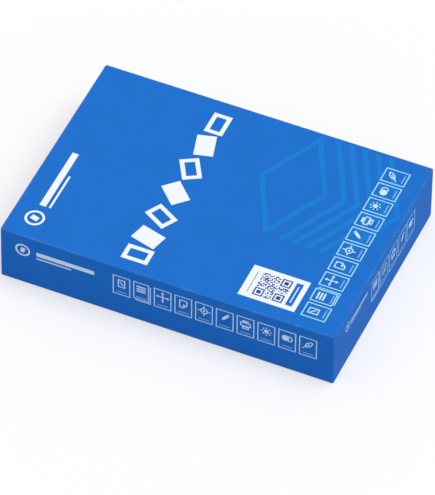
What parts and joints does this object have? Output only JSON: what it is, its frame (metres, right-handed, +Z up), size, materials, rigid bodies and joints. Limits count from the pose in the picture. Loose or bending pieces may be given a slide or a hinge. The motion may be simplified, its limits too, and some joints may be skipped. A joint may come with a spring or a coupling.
{
  "type": "ream of paper",
  "caption": "Wrapped ream of A4 copier paper: a flat block with a lap seam below and envelope-folded ends.",
  "frame": {"origin": "centre of the bottom face", "axes": "+X along the sheets' length, +Y along their width towards the back, +Z up"},
  "size_m": [0.299, 0.2106, 0.0548],
  "materials": {
    "wrapper": "satin coated paper, printed blue",
    "white_print": "satin, unprinted white of the wrapper",
    "pale_print": "satin, pale blue print"
  },
  "bodies": {
    "root": {"wrapped_ream": "wrapper"}
  },
  "joints": []
}
